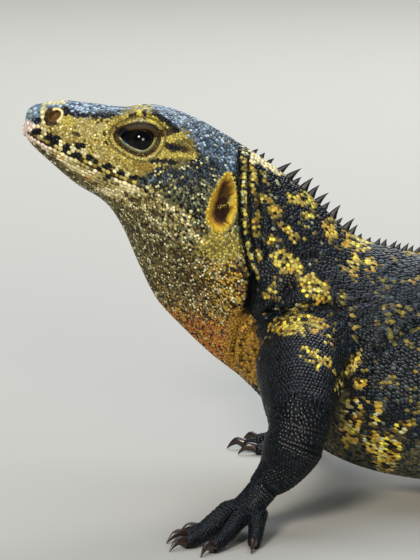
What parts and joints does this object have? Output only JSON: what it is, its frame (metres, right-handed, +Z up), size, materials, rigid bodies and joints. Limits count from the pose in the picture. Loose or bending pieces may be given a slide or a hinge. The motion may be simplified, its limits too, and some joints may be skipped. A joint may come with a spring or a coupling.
{
  "type": "black spiny-tailed iguana",
  "caption": "Life-size still figure of a large lizard, propped on its forelegs with its head raised and its spiny tail laid behind it.",
  "frame": {"origin": "on the floor, below the middle of the animal's box", "axes": "+X runs from the snout to the tail's tip, -Y is the animal's left and +Z is up"},
  "size_m": [0.8536, 0.2682, 0.1498],
  "materials": {
    "skin_head": "small glossy scales",
    "skin_jaw": "small glossy scales",
    "skin_throat": "fine matt scales",
    "skin_body": "keeled glossy scales",
    "skin_legs": "keeled glossy scales",
    "skin_tail": "whorls of spiny scales",
    "eye": "wet",
    "eardrum": "thin matt skin",
    "claw": "horn"
  },
  "bodies": {
    "root": {"belly": "skin_body", "chest": "skin_body", "claw_fore_left_1": "claw", "claw_fore_left_2": "claw", "claw_fore_left_3": "claw", "claw_fore_left_4": "claw", "claw_fore_left_5": "claw", "claw_fore_right_1": "claw", "claw_fore_right_2": "claw", "claw_fore_right_3": "claw", "claw_fore_right_4": "claw", "claw_fore_right_5": "claw", "claw_hind_left_1": "claw", "claw_hind_left_2": "claw", "claw_hind_left_3": "claw", "claw_hind_left_4": "claw", "claw_hind_left_5": "claw", "claw_hind_right_1": "claw", "claw_hind_right_2": "claw", "claw_hind_right_3": "claw", "claw_hind_right_4": "claw", "claw_hind_right_5": "claw", "ear_left": "eardrum", "ear_right": "eardrum", "eye_left": "eye", "eye_right": "eye", "foot_hind_left": "skin_legs", "foot_hind_right": "skin_legs", "forearm_fore_left": "skin_legs", "forearm_fore_right": "skin_legs", "hand_fore_left": "skin_legs", "hand_fore_right": "skin_legs", "head": "skin_head", "lower_jaw": "skin_jaw", "neck": "skin_body", "pelvis": "skin_body", "shank_hind_left": "skin_legs", "shank_hind_right": "skin_legs", "tail_base": "skin_tail", "tail_front": "skin_tail", "tail_rear": "skin_tail", "tail_tip": "skin_tail", "thigh_hind_left": "skin_legs", "thigh_hind_right": "skin_legs", "throat": "skin_throat", "upper_arm_fore_left": "skin_legs", "upper_arm_fore_right": "skin_legs"}
  },
  "joints": []
}
